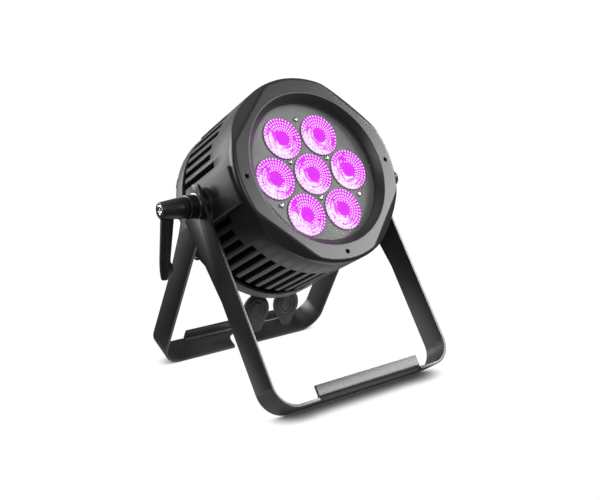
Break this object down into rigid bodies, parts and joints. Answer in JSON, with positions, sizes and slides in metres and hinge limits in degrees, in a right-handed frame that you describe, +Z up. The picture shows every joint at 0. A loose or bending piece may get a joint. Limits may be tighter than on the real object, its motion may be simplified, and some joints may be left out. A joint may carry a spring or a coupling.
{
  "type": "par can light",
  "caption": "Round LED par can: finned head with a multi-lens lit face tilts between two leaning floor yokes on clamp levers, with capped sockets at the back.",
  "frame": {"origin": "on the floor, under the middle of the stand's bounding box", "axes": "+X along the tilt axis towards the beam's left-hand lever, +Z up; the beam leaves towards -Y and is raised 27.65 degrees"},
  "size_m": [0.302, 0.2424, 0.3001],
  "materials": {
    "housing_paint": "satin black powder coat",
    "yoke_paint": "satin black powder coat",
    "optic": "clear micro-structured polycarbonate, lit magenta",
    "front_glass": "clear toughened glass",
    "lens_plate": "matt dark grey",
    "black_plastic": "fine-textured glass-filled nylon",
    "black_rubber": "matt moulded rubber",
    "circuit_board": "soldermask",
    "led_emitter": "domed emitter",
    "black_screw": "blackened steel",
    "bright_steel": "bright zinc plate",
    "black_steel": "blackened steel",
    "display_window": "smoked acrylic",
    "vent_brass": "nickel-brass"
  },
  "bodies": {
    "outer_yoke": {"outer_yoke": "yoke_paint", "friction_washer_left": "black_plastic", "friction_washer_right": "black_plastic"},
    "inner_yoke": {"inner_yoke": "yoke_paint"},
    "head": {"main_housing": "housing_paint", "front_bezel": "housing_paint", "bezel_screws": "black_screw", "glass_gasket": "black_rubber", "front_glass": "front_glass", "lens_plate": "lens_plate", "lens_plate_screws": "bright_steel", "lens_1": "optic", "lens_2": "optic", "lens_3": "optic", "lens_4": "optic", "lens_5": "optic", "lens_6": "optic", "lens_7": "optic", "lens_holders": "black_plastic", "led_board": "circuit_board", "led_emitters": "led_emitter", "driver_board": "circuit_board", "control_board": "circuit_board", "rear_cover": "housing_paint", "rear_gasket": "black_rubber", "rear_cover_screws": "black_screw", "display_window": "display_window", "pressure_vent": "vent_brass", "safety_eye": "black_screw", "power_in_socket": "black_plastic", "power_out_socket": "black_plastic", "data_in_socket": "black_plastic", "data_out_socket": "black_plastic", "socket_screws": "black_screw", "cap_frames": "black_rubber", "pivot_spacer_left": "black_plastic", "pivot_spacer_right": "black_plastic"},
    "left_clamp": {"lever_stud_left": "black_steel", "lever_screw_left": "bright_steel", "lever_washer_left": "bright_steel", "lever_spring_left": "bright_steel"},
    "left_handle": {"lever_handle_left": "black_plastic"},
    "right_clamp": {"lever_stud_right": "black_steel", "lever_screw_right": "bright_steel", "lever_washer_right": "bright_steel", "lever_spring_right": "bright_steel"},
    "right_handle": {"lever_handle_right": "black_plastic"},
    "power_in_cap": {"power_in_cap": "black_rubber"},
    "power_out_cap": {"power_out_cap": "black_rubber"},
    "data_in_cap": {"data_in_cap": "black_rubber"},
    "data_out_cap": {"data_out_cap": "black_rubber"},
    "menu_button_1": {"menu_button_1": "black_rubber"},
    "menu_button_2": {"menu_button_2": "black_rubber"},
    "menu_button_3": {"menu_button_3": "black_rubber"},
    "menu_button_4": {"menu_button_4": "black_rubber"}
  },
  "joints": [
    {"name": "head_tilt", "type": "hinge", "parent": "outer_yoke", "child": "head", "pos_m": [0, 0.00813, 0.1858], "axis": [-1, 0, 0], "range_deg": [-117, 62]},
    {"name": "inner_yoke_swing", "type": "hinge", "parent": "outer_yoke", "child": "inner_yoke", "pos_m": [0, 0.00813, 0.1858], "axis": [1, 0, 0], "range_deg": [-60, 117]},
    {"name": "left_clamp_turn", "type": "hinge", "parent": "outer_yoke", "child": "left_clamp", "pos_m": [0, 0.00813, 0.1858], "axis": [-1, 0, 0], "continuous": true},
    {"name": "left_handle_pull", "type": "slide", "parent": "left_clamp", "child": "left_handle", "axis": [-1, 0, 0], "range_m": [0, 0.004], "stiffness_N_per_m": 900, "springref_m": -0.004, "deforming": ["lever_spring_left"]},
    {"name": "right_clamp_turn", "type": "hinge", "parent": "outer_yoke", "child": "right_clamp", "pos_m": [0, 0.00813, 0.1858], "axis": [1, 0, 0], "continuous": true},
    {"name": "right_handle_pull", "type": "slide", "parent": "right_clamp", "child": "right_handle", "axis": [1, 0, 0], "range_m": [0, 0.004], "stiffness_N_per_m": 900, "springref_m": -0.004, "deforming": ["lever_spring_right"]},
    {"name": "power_in_cap_swing", "type": "hinge", "parent": "head", "child": "power_in_cap", "pos_m": [-0.02, 0.06577, 0.12818], "axis": [-1, 0, 0], "range_deg": [0, 130]},
    {"name": "power_out_cap_swing", "type": "hinge", "parent": "head", "child": "power_out_cap", "pos_m": [0.02, 0.06577, 0.12818], "axis": [-1, 0, 0], "range_deg": [0, 130]},
    {"name": "data_in_cap_swing", "type": "hinge", "parent": "head", "child": "data_in_cap", "pos_m": [-0.02, 0.04164, 0.08211], "axis": [1, 0, 0], "range_deg": [-15, 152]},
    {"name": "data_out_cap_swing", "type": "hinge", "parent": "head", "child": "data_out_cap", "pos_m": [0.02, 0.04164, 0.08211], "axis": [1, 0, 0], "range_deg": [-15, 152]},
    {"name": "menu_button_1_press", "type": "slide", "parent": "head", "child": "menu_button_1", "axis": [0, -0.8858, 0.4641], "range_m": [0, 0.001], "stiffness_N_per_m": 400, "springref_m": -0.001},
    {"name": "menu_button_2_press", "type": "slide", "parent": "head", "child": "menu_button_2", "axis": [0, -0.8858, 0.4641], "range_m": [0, 0.001], "stiffness_N_per_m": 400, "springref_m": -0.001},
    {"name": "menu_button_3_press", "type": "slide", "parent": "head", "child": "menu_button_3", "axis": [0, -0.8858, 0.4641], "range_m": [0, 0.001], "stiffness_N_per_m": 400, "springref_m": -0.001},
    {"name": "menu_button_4_press", "type": "slide", "parent": "head", "child": "menu_button_4", "axis": [0, -0.8858, 0.4641], "range_m": [0, 0.001], "stiffness_N_per_m": 400, "springref_m": -0.001}
  ]
}
